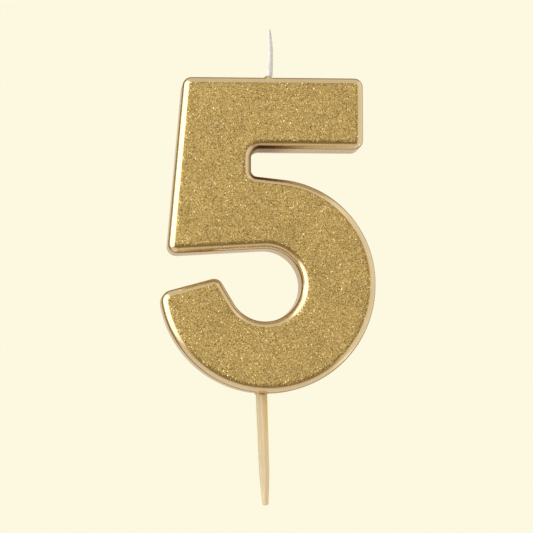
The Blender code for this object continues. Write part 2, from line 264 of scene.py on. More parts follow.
def arc_points(centre, start, end, bend, count):
    """Points on the arc from start to end, both included."""
    first, last = start - centre, end - centre
    begin = math.atan2(first.y, first.x)
    sweep = (math.atan2(last.y, last.x) - begin) * bend % (2 * math.pi)
    return [centre + heading(begin + bend * sweep * i / count) * first.length
            for i in range(count + 1)]


def numeral_sides(sizes):
    """The sides, walked anticlockwise, each with the corner at its far end and that
    corner's bend: 1 outwards, -1 inwards. A corner of None runs on smoothly."""
    low = Vector((sizes.bowl_x, sizes.bowl_radius))
    high = low + Vector((sizes.bowl_radius - sizes.bowl_top_radius, sizes.bowl_straight))
    counter = low + Vector((sizes.counter_x, sizes.counter_z))
    up, left = math.pi / 2, math.pi
    stem_foot = counter + heading(up + sizes.stem_foot_slope) * sizes.counter_radius
    inner_side = counter + heading(left + up - sizes.terminal_side) * sizes.counter_radius
    floor_end = high + heading(up - sizes.notch_floor_slope) * sizes.bowl_top_radius
    terminal = low + Vector((0.0, sizes.terminal_rise))
    return [
        (line_side((sizes.bowl_x - sizes.stem_reach, TOP_Z), -up - sizes.stem_lean), "stem_foot", 1),
        (line_side(stem_foot, sizes.stem_foot_slope), None, 0),
        (arc_side(counter, sizes.counter_radius, -1), None, 0),
        (line_side(inner_side, left - sizes.terminal_side), "terminal_inner", 1),
        (line_side(terminal, left + sizes.terminal_slope), "terminal_outer", 1),
        (arc_side(low, sizes.bowl_radius, 1), None, 0),
        (line_side(low + Vector((sizes.bowl_radius, 0.0)), up), None, 0),
        (arc_side(high, sizes.bowl_top_radius, 1), None, 0),
        (line_side(floor_end, left - sizes.notch_floor_slope), "notch_lower", -1),
        (line_side((sizes.bowl_x - sizes.notch_reach, 0.0), up), "notch_upper", -1),
        (line_side((0.0, TOP_Z - sizes.bar_height), 0.0), "bar_lower", 1),
        (line_side((sizes.bowl_x + sizes.bar_reach, 0.0), up), "bar_upper", 1),
        (line_side((0.0, TOP_Z), left), "top_left", 1),
    ]


def joint_points(sizes, side, after, corner, bend, offset):
    """The points where one side of the moved outline turns into the next."""
    if corner is None:
        arc, line = (side, after) if side["kind"] == "arc" else (after, side)
        return [touching_point(moved_out(line, offset), arc["centre"])]
    radius = max(CORNERS[corner] * MM + bend * offset, SMALLEST_CORNER)
    near = crossing(side, after, Vector((sizes.bowl_x - sizes.bowl_radius, sizes.bowl_radius)))
    inset = offset - bend * radius
    centre = crossing(moved_out(side, inset), moved_out(after, inset), near)
    start = touching_point(moved_out(side, offset), centre)
    end = touching_point(moved_out(after, offset), centre)
    return arc_points(centre, start, end, bend, math.ceil(math.pi / 2 / CORNER_STEP))


def side_steps(side, start, end):
    """How many steps a side is walked in."""
    if side["kind"] == "line":
        return max(1, round((end - start).length / LINE_STEP))
    first, last = start - side["centre"], end - side["centre"]
    sweep = (math.atan2(last.y, last.x) - math.atan2(first.y, first.x)) * side["bend"]
    return math.ceil(sweep % (2 * math.pi) / ARC_STEP)


def outline(sizes, offset):
    """The five's outline moved outwards by an offset. Every offset gives as many points."""
    sides = numeral_sides(sizes)

    def joints_at(distance):
        return [joint_points(sizes, side, sides[(i + 1) % len(sides)][0], corner, bend, distance)
                for i, (side, corner, bend) in enumerate(sides)]

    base, joints = joints_at(0.0), joints_at(offset)
    points = []
    for i, (side, _corner, _bend) in enumerate(sides):
        steps = side_steps(side, base[i - 1][-1], base[i][0])
        start, end = joints[i - 1][-1], joints[i][0]
        if side["kind"] == "arc":
            points += arc_points(side["centre"], start, end, side["bend"], steps)[1:-1]
        else:
            points += [start.lerp(end, k / steps) for k in range(1, steps)]
        points += joints[i]
    return points


# ---- mesh making

EDGE_ROOM = 0.55        # how close the net's inner points come to its edge, in spacings
SAME_POINT = 1e-7


def finish_mesh(name, shape, sharp=40.0):
    """Turn a bmesh into an object with smooth faces that point outwards."""
    bmesh.ops.recalc_face_normals(shape, faces=shape.faces)
    bmesh.ops.triangulate(shape, faces=[face for face in shape.faces if len(face.verts) > 4])
    mesh = bpy.data.meshes.new(name)
    shape.to_mesh(mesh)
    shape.free()
    mesh.shade_smooth()
    mesh.set_sharp_from_angle(angle=math.radians(sharp))
    return linked(name, mesh)


def linked(name, data):
    made = bpy.data.objects.new(name, data)
    bpy.context.scene.collection.objects.link(made)
    return made


def evaluated_copy(piece, name):
    """The piece as its modifiers leave it, as a plain mesh object. The first one goes."""
    graph = bpy.context.evaluated_depsgraph_get()
    mesh = bpy.data.meshes.new_from_object(piece.evaluated_get(graph), depsgraph=graph)
    mesh.name = name
    bpy.data.objects.remove(piece, do_unlink=True)
    return linked(name, mesh)


def settle(piece, material, slot, *replaced):
    """Give a piece its finish and tie it to the candle's one body."""
    if material is not None:
        piece.data.materials.clear()
        piece.data.materials.append(material)
    if replaced:
        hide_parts(*replaced)
    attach(piece, "root")


def rings_between(shape, rings):
    """Join neighbouring rings of vertices with quads."""
    for near, far in zip(rings, rings[1:]):
        for i, vertex in enumerate(near):
            j = (i + 1) % len(near)
            shape.faces.new((vertex, near[j], far[j], far[i]))


def layer_rings(shape, sizes, layers):
    """Rings of vertices on the moved outline. Each layer is an offset and a depth."""
    return [[shape.verts.new((point.x, y, point.y)) for point in outline(sizes, offset)]
            for offset, y in layers]


def turns(segments):
    """The directions of a ring's vertices."""
    return [2 * math.pi * k / segments for k in range(segments)]


def spaced(low, high, count):
    return [low + (high - low) * i / count for i in range(count + 1)]


def turned_rings(shape, heights, radius_at, centre_at, segments):
    """Rings of a turned shape, from its radius at a height and a direction and its centre's x
    at a height."""
    rings = []
    for z in heights:
        spokes = [(radius_at(z, turn), turn) for turn in turns(segments)]
        rings.append([shape.verts.new((centre_at(z) + radius * math.cos(turn),
                                       radius * math.sin(turn), z)) for radius, turn in spokes])
    return rings


def lump_at(turn, along, scale=1.0):
    """A soft random lump for a direction round a turned shape and a place along it."""
    return noise.noise(Vector((math.cos(turn), math.sin(turn), along)) * scale)


def inside(point, ring):
    """Whether a point lies inside a closed ring of points."""
    found = False
    for a, b in zip(ring, ring[1:] + ring[:1]):
        if (a.y > point.y) != (b.y > point.y):
            if point.x < a.x + (b.x - a.x) * (point.y - a.y) / (b.y - a.y):
                found = not found
    return found


def fill_ring(shape, ring, spacing, depth_at):
    """Close a ring with a triangle net. Its inner points lie at depth_at(x, z, reach, y), where
    reach is the distance to the ring and y is the ring's own depth."""
    flat = [Vector((vertex.co.x, vertex.co.z)) for vertex in ring]
    y = ring[0].co.y
    low_x, high_x = min(p.x for p in flat), max(p.x for p in flat)
    low_z, high_z = min(p.y for p in flat), max(p.y for p in flat)
    inner = []
    row_height = spacing * math.sqrt(3.0) / 2
    for row in range(int((high_z - low_z) / row_height) + 1):
        for step in range(int((high_x - low_x) / spacing) + 1):
            point = Vector((low_x + (step + row % 2 / 2) * spacing, low_z + row * row_height))
            reach = min((point - other).length for other in flat)
            if reach > spacing * EDGE_ROOM and inside(point, flat):
                inner.append((point, reach))
    points = flat + [point for point, _reach in inner]
    net = delaunay_2d_cdt(points, [], [list(range(len(flat)))], 1, SAME_POINT)
    verts = list(ring)
    verts += [shape.verts.new((p.x, depth_at(p.x, p.y, reach, y), p.y)) for p, reach in inner]
    for triangle in net[2]:
        shape.faces.new([verts[net[3][i][0]] for i in triangle])


def wave(x, z, size, seed):
    """A soft random height from -1 to 1."""
    return noise.noise(Vector((x / size, z / size, seed)))


def crown(sizes, reach):
    """How much of the crown's drop is left at a distance from the face's edge."""
    left = max(0.0, 1.0 - reach / sizes.crown_width)
    return sizes.crown_drop * left ** 2


# ---- node helpers

def new_material(name):
    """A material with its Principled shader, and the tree it is in."""
    material = bpy.data.materials.new(name)
    material.use_nodes = True
    tree = material.node_tree
    return material, tree, tree.nodes["Principled BSDF"]


def node(tree, kind, settings=None, **values):
    """Add a node. Settings are its own options; values go to its sockets by name, and a
    value may be another node's output."""
    made = tree.nodes.new(kind)
    for key, value in (settings or {}).items():
        setattr(made, key, value)
    set_inputs(tree, made, **values)
    return made


def socket_name(made, key):
    """Match a plain keyword to a socket name, or a number to a place in the list."""
    if key.startswith("in_"):
        return int(key[3:])
    wanted = key.replace("_", " ").lower()
    for socket in made.inputs:
        if socket.name.lower() == wanted and socket.enabled:
            return list(made.inputs).index(socket)
    raise KeyError(f"{made.bl_idname} has no input {key}")


def plug(tree, socket, value):
    """Link an output to a socket, or set the socket's value."""
    if isinstance(value, bpy.types.NodeSocket):
        tree.links.new(value, socket)
    elif hasattr(value, "__len__") and not isinstance(value, str):
        parts = tuple(value)
        socket.default_value = parts + (1.0,) if socket.type == "RGBA" and len(parts) == 3 else parts
    else:
        socket.default_value = value


def maths(tree, operation, first, second=0.0, clamp=False):
    return node(tree, "ShaderNodeMath", {"operation": operation, "use_clamp": clamp},
                in_0=first, in_1=second).outputs[0]


def times(tree, first, second):
    return maths(tree, "MULTIPLY", first, second)


def vector_maths(tree, operation, first, second, output=0):
    return node(tree, "ShaderNodeVectorMath", {"operation": operation},
                in_0=first, in_1=second).outputs[output]


def blend_colour(tree, factor, first, second):
    made = node(tree, "ShaderNodeMix", {"data_type": "RGBA"})
    plug(tree, made.inputs[0], factor)
    plug(tree, made.inputs[6], first)
    plug(tree, made.inputs[7], second)
    return made.outputs[2]


def ramp(tree, factor, low, high, from_value=0.0, to_value=1.0):
    """A smooth step from one value to another while the factor goes from low to high."""
    made = node(tree, "ShaderNodeMapRange", {"interpolation_type": "SMOOTHSTEP"})
    for place, value in enumerate((factor, low, high, from_value, to_value)):
        plug(tree, made.inputs[place], value)
    return made.outputs[0]


def axis_of(tree, vector, axis):
    return node(tree, "ShaderNodeSeparateXYZ", in_0=vector).outputs[axis]


def object_place(tree):
    return node(tree, "ShaderNodeTexCoord").outputs["Object"]


def cloud(tree, place, scale, detail, **more):
    """A noise texture's value. The scale is a number, a socket or one number for each axis."""
    if isinstance(scale, tuple):
        place = node(tree, "ShaderNodeMapping", Vector=place, Scale=scale).outputs[0]
        scale = 1.0
    return node(tree, "ShaderNodeTexNoise", Vector=place, Scale=scale, Detail=detail,
                **more).outputs["Fac"]


def set_inputs(tree, made, **values):
    """Set a node's inputs by name, to constants or to other nodes' outputs."""
    for key, value in values.items():
        plug(tree, made.inputs[socket_name(made, key)], value)


def bumped(tree, height, strength, distance):
    return node(tree, "ShaderNodeBump", Strength=strength, Distance=distance,
                Height=height).outputs[0]


def new_group(kind, name, inputs, outputs):
    """A group of nodes with its sockets: the tree, what it is given and its result. Inputs are
    (name, socket type, default), and outputs are (name, socket type)."""
    group = bpy.data.node_groups.new(name, kind + "NodeTree")
    for label, socket_type, default in inputs:
        socket = group.interface.new_socket(label, in_out="INPUT",
                                            socket_type="NodeSocket" + socket_type)
        if default is not None:
            socket.default_value = default
    for label, socket_type in outputs:
        group.interface.new_socket(label, in_out="OUTPUT", socket_type="NodeSocket" + socket_type)
    return group, group.nodes.new("NodeGroupInput").outputs, group.nodes.new("NodeGroupOutput")


def use_group(tree, name, **values):
    """Add a shared effect, made when it is first asked for."""
    made = tree.nodes.new("ShaderNodeGroup")
    made.node_tree = bpy.data.node_groups.get(name) or SHARED_EFFECTS[name](name)
    set_inputs(tree, made, **values)
    return made


def cast_ripple(name):
    """Fine orange peel and slow unevenness of a sprayed, cast surface."""
    group, given, result = new_group("Shader", name, [
        ("Place", "Vector", None), ("Peel Scale", "Float", 900.0), ("Peel", "Float", 0.3),
        ("Sag Scale", "Float", 160.0), ("Sag", "Float", 0.7),
    ], [("Height", "Float"), ("Patch", "Float")])
    peel = cloud(group, given["Place"], given["Peel Scale"], 2.0)
    sag = cloud(group, given["Place"], given["Sag Scale"], 1.0)
    height = maths(group, "ADD", times(group, peel, given["Peel"]), times(group, sag, given["Sag"]))
    set_inputs(group, result, Height=height, Patch=sag)
    return group


def metal_grain(name):
    """Tiny metal platelets: a tone and a height for each cell."""
    group, given, result = new_group("Shader", name, [
        ("Place", "Vector", None), ("Scale", "Float", 5000.0),
    ], [("Tone", "Float"), ("Height", "Float")])
    cells = node(group, "ShaderNodeTexVoronoi", Vector=given["Place"], Scale=given["Scale"]).outputs
    tone = node(group, "ShaderNodeSeparateColor", Color=cells["Color"])
    across = vector_maths(group, "SUBTRACT", cells["Color"], (0.5, 0.5, 0.5))
    lean = vector_maths(group, "DOT_PRODUCT", across, given["Place"], "Value")
    wrapped = maths(group, "SINE", times(group, lean, given["Scale"]))
    height = maths(group, "ADD", times(group, wrapped, 0.2), cells["Distance"])
    set_inputs(group, result, Tone=tone.outputs[0], Height=height)
    return group


SHARED_EFFECTS = {"Cast Ripple": cast_ripple, "Metal Grain": metal_grain}


# ---- finishes

CLEAR_IOR = 2.3
DULLING = 0.3               # roughness that a lacquer without any gloss gains
LACQUER_GRAIN = 7000.0      # platelets to a metre
FILM_GRAIN = 4200.0
# reach of the painted shade round the notch's inner corner
SHADE_NEAR, SHADE_FAR = 3.0 * MM, 13.0 * MM
GRAIN_ALONG = (1500.0, 1500.0, 28.0)
PORES_ALONG = (7000.0, 7000.0, 260.0)
PORE_COLOUR = (0.93, 0.82, 0.56)
CORE_COLOURS = (0.84, 0.76, 0.56), (0.76, 0.66, 0.44)


def corner_shade_mask(tree, place, corner):
    """Painted shade: 1 in the inner corner, where shade falls, and it stands in for that shade. It
    fades out around the corner, and towards the face and the back."""
    flat = vector_maths(tree, "MULTIPLY", place, (1.0, 0.0, 1.0))
    away = vector_maths(tree, "DISTANCE", flat, (corner.x, 0.0, corner.y), "Value")
    near = ramp(tree, away, SHADE_NEAR, SHADE_FAR, 1.0, 0.0)
    deep = axis_of(tree, place, "Y")
    behind_face = ramp(tree, deep, FRONT_Y + 0.25 * MM, FRONT_Y + 1.1 * MM)
    before_back = ramp(tree, deep, BACK_Y - 3.0 * MM, BACK_Y - 0.5 * MM, 1.0, 0.0)
    return times(tree, near, times(tree, behind_face, before_back))


def lacquer_finish(name, sizes, pooled, gloss=1.0, corner=None):
    """Gold metal paint under a clear gloss. Pooled is how much of the deep shade it has all over. Round
    the corner the
    lacquer gets painted shade: a darker colour and a thinner clear that stand in for the shade in that
    inner corner."""
    material, tree, shader = new_material(name)
    place = object_place(tree)
    ripple = use_group(tree, "Cast Ripple", Place=place).outputs
    grain = use_group(tree, "Metal Grain", Place=place, Scale=LACQUER_GRAIN).outputs
    tone = ramp(tree, grain["Tone"], 0.1, 0.9, 0.0, 0.22)
    patch = ramp(tree, ripple["Patch"], 0.42, 0.75, pooled, pooled + 0.14)
    depth = maths(tree, "ADD", tone, patch, clamp=True)
    tinted = blend_colour(tree, depth, sizes.gold, sizes.shade)
    coat = gloss
    if corner is not None:
        # painted shade: darker lacquer and less clear coat in the inner corner, standing in for the
        # shade there
        corner_shade = corner_shade_mask(tree, place, corner)
        tinted = blend_colour(tree, corner_shade, tinted, sizes.deep)
        coat = ramp(tree, corner_shade, 0.0, 1.0, 1.0, 0.25)
    dulled = DULLING * (1.0 - gloss)
    rough = sizes.metal_roughness + dulled
    set_inputs(tree, shader, Base_Color=tinted, Metallic=1.0,
               Roughness=ramp(tree, grain["Tone"], 0.0, 1.0, rough - 0.05, rough + 0.08),
               Coat_Weight=coat, Coat_Roughness=sizes.clear_roughness + dulled, Coat_IOR=CLEAR_IOR,
               Normal=bumped(tree, ripple["Height"], 0.25, 0.02 * MM))
    return material


def film_finish(sizes):
    """The glitter film under the flakes: the same metal in a finer grain."""
    material, tree, shader = new_material("glitter film")
    place = object_place(tree)
    grain = use_group(tree, "Metal Grain", Place=place, Scale=FILM_GRAIN).outputs
    ripple = use_group(tree, "Cast Ripple", Place=place).outputs
    tone = ramp(tree, grain["Tone"], 0.0, 1.0, 0.0, 0.9)
    set_inputs(tree, shader, Base_Color=blend_colour(tree, tone, sizes.bronze, sizes.gold),
               Metallic=1.0, Roughness=ramp(tree, ripple["Patch"], 0.3, 0.7, 0.38, 0.46),
               Coat_Weight=0.6, Coat_Roughness=0.12,
               Normal=bumped(tree, grain["Height"], 0.35, 0.03 * MM))
    return material


def flake_finish(sizes):
    """One flake's metal, with its own tone from the scatter's tint attribute."""
    material, tree, shader = new_material("glitter flake")
    tint = node(tree, "ShaderNodeAttribute", {"attribute_name": "tint"}).outputs["Fac"]
    shaded = blend_colour(tree, ramp(tree, tint, 0.0, 0.45), sizes.bronze, sizes.gold)
    set_inputs(tree, shader, Metallic=1.0, Coat_Weight=0.5, Coat_Roughness=0.08,
               Base_Color=blend_colour(tree, ramp(tree, tint, 0.62, 1.0), shaded, sizes.pale),
               Roughness=ramp(tree, tint, 0.0, 1.0, 0.26, 0.16))
    return material


def core_finish():
    """Cast wax, ivory, a little see-through."""
    material, tree, shader = new_material("cast wax")
    mottle = cloud(tree, object_place(tree), 220.0, 4.0)
    set_inputs(tree, shader, Base_Color=blend_colour(tree, mottle, *CORE_COLOURS), Roughness=0.45,
               Subsurface_Weight=0.3, Subsurface_Radius=(1.0, 0.8, 0.5),
               Subsurface_Scale=1.5 * MM, Normal=bumped(tree, mottle, 0.3, 0.05 * MM))
    return material


def shaded_by(tree, mask, tint, darkest):
    """A tint that is darker where the mask is low."""
    return blend_colour(tree, mask, tuple(value * darkest for value in tint), tint)


def cotton_finish(sizes):
    """Cotton strands with a fine twist along them."""
    material, tree, shader = new_material("wick cotton")
    turned = node(tree, "ShaderNodeMapping", Vector=object_place(tree), Rotation=(0.5, 0.4, 0.0),
                  Scale=(9000.0, 9000.0, 2200.0))
    fibre = cloud(tree, turned.outputs[0], 1.0, 3.0)
    set_inputs(tree, shader, Base_Color=shaded_by(tree, fibre, sizes.cotton, 0.78), Roughness=0.85,
               Sheen_Weight=0.3, Normal=bumped(tree, fibre, 0.6, 0.02 * MM))
    return material


def sleeve_finish(sizes):
    """Thin cool white wax that lets light through."""
    material, tree, shader = new_material("wick wax")
    mottle = cloud(tree, object_place(tree), 900.0, 3.0)
    set_inputs(tree, shader, Base_Color=shaded_by(tree, mottle, sizes.wax, 0.93),
               Roughness=ramp(tree, mottle, 0.2, 0.8, 0.3, 0.5), Coat_Weight=0.15,
               Subsurface_Weight=0.6, Subsurface_Radius=(1.0, 0.95, 0.9),
               Subsurface_Scale=0.8 * MM, Normal=bumped(tree, mottle, 0.3, 0.02 * MM))
    return material


def bamboo_finish(sizes):
    """Bamboo with its grain along the pick. Its left side is painted greyer and darker as painted shade
    against the strong light from the left, and its right side warmer, more so towards the top, partly
    as wood near the skin and partly as painted light.
    """
    material, tree, shader = new_material("bamboo")
    along = node(tree, "ShaderNodeMapping", {"vector_type": "POINT"}, Vector=object_place(tree),
                 Rotation=(0.0, sizes.lean, 0.0)).outputs[0]
    bundle = cloud(tree, along, GRAIN_ALONG, 3.0, Roughness=0.65)
    pore = cloud(tree, along, PORES_ALONG, 2.0)
    across = axis_of(tree, along, "X")
    # partly wood tone, partly painted light: the right side, more so near the top, turns to the warmer
    # skin colour
    side = ramp(tree, across, -0.1 * MM, 0.9 * MM, 0.0, 0.75)
    high = ramp(tree, axis_of(tree, along, "Z"), -17.0 * MM, -3.0 * MM, 0.25, 1.0)
    tinted = blend_colour(tree, times(tree, side, high), sizes.wood, sizes.skin)
    # the first mask is painted shade: it darkens the left side, where the light is strongest
    for mask, tint in ((ramp(tree, across, -0.9 * MM, 0.0, 0.9, 0.0), sizes.painted_left_shade),
                       (ramp(tree, bundle, 0.46, 0.62, 0.0, 0.8), sizes.fibre),
                       (ramp(tree, pore, 0.52, 0.66, 0.0, 0.5), PORE_COLOUR)):
        tinted = blend_colour(tree, mask, tinted, tint)
    height = maths(tree, "ADD", bundle, times(tree, pore, 0.4))
    set_inputs(tree, shader, Base_Color=tinted, Roughness=ramp(tree, bundle, 0.3, 0.7, 0.42, 0.62),
               Coat_Weight=0.08, Normal=bumped(tree, height, 0.55, 0.05 * MM))
    return material


# ---- the numeral

RIM_STEPS = 16
BACK_STEPS = 4
LIP_STEPS = 8
CROWN_STEPS = 7
WALL_ROWS = 7
CREASE_GAP = 0.02 * MM          # between the film and the rim, all round
FILM_BED = 0.02 * MM            # under the film
FILM_DEPTH = 0.2 * MM
FILM_EDGE = 0.03 * MM           # rounding of the film's own edge
FACE_NET, BACK_NET = 0.6 * MM, 1.2 * MM
CALM_EDGE = 2.0 * MM            # the face and the back are even this close to their edges
WAVE_SIZE = 6.0 * MM            # the waves of the walls, and those of the face and the back
FACE_WAVE, BACK_WAVE = 5.0 * MM, 7.0 * MM
HOLLOW_FRONT = 1.0 * MM         # the wax starts this far behind the face
HOLLOW_LEDGE = 0.2 * MM
WICK_OPENING = 0.75 * MM
PICK_CLEARANCE = 0.25 * MM


def rim_width(sizes):
    return sizes.rim_radius * (1.0 - math.sin(sizes.rim_start))


def crease_y(sizes):
    """Depth at which the face meets the rim."""
    return FRONT_Y + sizes.crown_drop


def rim_layers(sizes):
    """Offsets and depths from the crease round the rim to the side wall."""
    return [(sizes.rim_radius * (math.sin(slope) - 1.0),
             crease_y(sizes) + sizes.rim_radius * (math.cos(sizes.rim_start) - math.cos(slope)))
            for slope in spaced(sizes.rim_start, math.pi / 2, RIM_STEPS)]


def back_layers(sizes):
    """Offsets and depths round the back edge, then down the soft lip to the sunk back."""
    edge = [(sizes.draft - sizes.back_edge * (1.0 - math.cos(turn)),
             BACK_Y - sizes.back_edge * (1.0 - math.sin(turn)))
            for turn in spaced(0.0, math.pi / 2, BACK_STEPS)]
    lip = [(sizes.draft - sizes.back_edge - sizes.lip * part,
            BACK_Y - sizes.sink * part * part * (3.0 - 2.0 * part))
           for part in spaced(0.0, 1.0, LIP_STEPS)[1:]]
    return edge + lip


def numeral_shell(sizes):
    """The gold coat: rim, walls and back, hollow inside, with a bed for the glitter film."""
    shape = bmesh.new()
    bed = (-rim_width(sizes), crease_y(sizes) + FILM_BED + FILM_DEPTH)
    rim, back = rim_layers(sizes), back_layers(sizes)
    depths = spaced(rim[-1][1], back[0][1], WALL_ROWS)
    wall = [(sizes.draft * row / WALL_ROWS, depths[row]) for row in range(1, WALL_ROWS)]
    rings = layer_rings(shape, sizes, [bed] + rim + wall + back)
    rings_between(shape, rings)
    soften(shape, sizes)
    shape.faces.new(rings[0])
    fill_ring(shape, rings[-1], BACK_NET,
              lambda x, z, reach, y: y - sizes.waviness * (1.0 + wave(x, z, BACK_WAVE, 3.0))
              * min(1.0, reach / CALM_EDGE))
    return finish_mesh("numeral_shell_outer", shape, 30.0)


def soften(shape, sizes):
    """Give the walls and the rim the slow waves of cast wax."""
    centre = Vector((sizes.bowl_x, sizes.bowl_radius))
    for vertex in shape.verts:
        x, y, z = vertex.co
        push = sizes.waviness * noise.noise(Vector((x, y * 0.4, z)) / WAVE_SIZE)
        away = Vector((x, z)) - centre
        if away.length > 0:
            away = away.normalized() * push * 0.6
            vertex.co = (x + away.x, y, z + away.y)


def hollow_cutter(sizes):
    """The inside of the coat, a wall's thickness in from its outer surface."""
    shape = bmesh.new()
    front = FRONT_Y + HOLLOW_FRONT
    inset = rim_width(sizes) + HOLLOW_LEDGE
    rings = layer_rings(shape, sizes, [
        (-inset, front), (-sizes.wall, front + inset - sizes.wall),
        (sizes.draft - sizes.wall, BACK_Y - sizes.wall)])
    rings_between(shape, rings)
    shape.faces.new(rings[0])
    shape.faces.new(rings[-1])
    return finish_mesh("coat_hollow", shape)


def round_cutter(name, radius, low, high, x, lean):
    """A round cutter on the wick's or the pick's axis."""
    shape = bmesh.new()
    bmesh.ops.create_cone(shape, cap_ends=True, segments=48, radius1=radius, radius2=radius,
                          depth=high - low)
    turn = Matrix.Rotation(-lean, 4, "Y")
    shape.transform(Matrix.Translation((x, 0.0, 0.0)) @ turn
                    @ Matrix.Translation((0.0, 0.0, (low + high) / 2)))
    return finish_mesh(name, shape)


def cut(piece, tools):
    """Cut the tools out of a piece, then remove them."""
    for tool in tools:
        modifier = piece.modifiers.new("cut", "BOOLEAN")
        modifier.operation = "DIFFERENCE"
        modifier.solver = "EXACT"
        modifier.object = tool
    finished = evaluated_copy(piece, "numeral_coat")
    for tool in tools:
        bpy.data.objects.remove(tool, do_unlink=True)
    return finished


def glitter_film(sizes):
    """The film that carries the glitter: crowned in front, flat behind."""
    shape = bmesh.new()
    edge = -rim_width(sizes) - CREASE_GAP
    crease = crease_y(sizes)
    sides = [(edge, crease + FILM_DEPTH), (edge, crease + FILM_EDGE)]
    front = [(edge - FILM_EDGE - reach, FRONT_Y + crown(sizes, reach))
             for reach in spaced(0.0, sizes.crown_width, CROWN_STEPS)]
    rings = layer_rings(shape, sizes, sides + front)
    rings_between(shape, rings)
    shape.faces.new(rings[0])
    fill_ring(shape, rings[-1], FACE_NET,
              lambda x, z, reach, y: FRONT_Y + sizes.waviness
              * (1.0 - wave(x, z, FACE_WAVE, 9.0)) * min(1.0, reach / CALM_EDGE))
    return finish_mesh("glitter_film", shape, 40.0)


# ---- geometry nodes

FACES_FRONT = -0.7              # flakes lie where the film's normal has a smaller Y
SMALLEST_FLAKE, LARGEST_FLAKE = 0.6, 1.25
TIP_DRAW = 0.5 * MM             # height in which the strands draw together

def grow(piece, tree, values):
    """Put a tree on a piece and set the modifier's inputs by their identifiers."""
    modifier = piece.modifiers.new(tree.name, "NODES")
    modifier.node_group = tree
    for item in tree.interface.items_tree:
        if item.item_type == "SOCKET" and item.in_out == "INPUT" and item.name in values:
            modifier[item.identifier] = values[item.name]
    return modifier


def growth(name, *inputs):
    """A geometry group with the inputs it needs besides the mesh and the material."""
    kinds = [("Geometry", "Geometry", None)] + [(label, kind, None) for label, kind in inputs]
    return new_group("Geometry", name, kinds + [("Material", "Material", None)],
                     [("Geometry", "Geometry")])


def output_as(tree, given, result, geometry):
    """End a tree with real geometry in the wanted material."""
    real = node(tree, "GeometryNodeRealizeInstances", in_0=geometry)
    painted = node(tree, "GeometryNodeSetMaterial", in_0=real.outputs[0],
                   Material=given["Material"])
    set_inputs(tree, result, in_0=painted.outputs[0])


def random_value(tree, kind, seed, low=0.0, high=1.0):
    """A random number (FLOAT) or a random vector (FLOAT_VECTOR) for each element."""
    made = node(tree, "FunctionNodeRandomValue", {"data_type": kind})
    first = 0 if kind == "FLOAT_VECTOR" else 2
    plug(tree, made.inputs[first], low)
    plug(tree, made.inputs[first + 1], high)
    plug(tree, made.inputs["Seed"], seed)
    return made.outputs[first // 2]


def flake_tree():
    """Hexagonal flakes on the front of the film, each with its own lean and tint."""
    tree, given, result = growth("Flake Scatter", ("Flake Size", "Float"), ("Density", "Float"),
                                 ("Tilt", "Float"), ("Seed", "Int"))
    normal = node(tree, "GeometryNodeInputNormal").outputs[0]
    front = node(tree, "FunctionNodeCompare", {"data_type": "FLOAT", "operation": "LESS_THAN"},
                 in_0=axis_of(tree, normal, "Y"), in_1=FACES_FRONT)
    spots = node(tree, "GeometryNodeDistributePointsOnFaces", Mesh=given["Geometry"],
                 Density=given["Density"], Seed=given["Seed"], Selection=front.outputs[0])
    hexagon = node(tree, "GeometryNodeMeshCircle", {"fill_type": "NGON"}, Vertices=6,
                   Radius=times(tree, given["Flake Size"], 0.5))
    low = times(tree, given["Tilt"], -1.0)
    lows = node(tree, "ShaderNodeCombineXYZ", in_0=low, in_1=low, in_2=-math.pi)
    highs = node(tree, "ShaderNodeCombineXYZ", in_0=given["Tilt"], in_1=given["Tilt"],
                 in_2=math.pi)
    lean = random_value(tree, "FLOAT_VECTOR", 11, lows.outputs[0], highs.outputs[0])
    turned = node(tree, "FunctionNodeRotateRotation", {"rotation_space": "LOCAL"},
                  in_0=spots.outputs["Rotation"], in_1=lean)
    placed = node(tree, "GeometryNodeInstanceOnPoints", Points=spots.outputs["Points"],
                  Instance=hexagon.outputs["Mesh"], Rotation=turned.outputs[0],
                  Scale=random_value(tree, "FLOAT", 12, SMALLEST_FLAKE, LARGEST_FLAKE))
    marked = node(tree, "GeometryNodeStoreNamedAttribute",
                  {"data_type": "FLOAT", "domain": "INSTANCE"}, Geometry=placed.outputs[0],
                  Name="tint", Value=random_value(tree, "FLOAT", 13))
    output_as(tree, given, result, marked.outputs[0])
    return tree


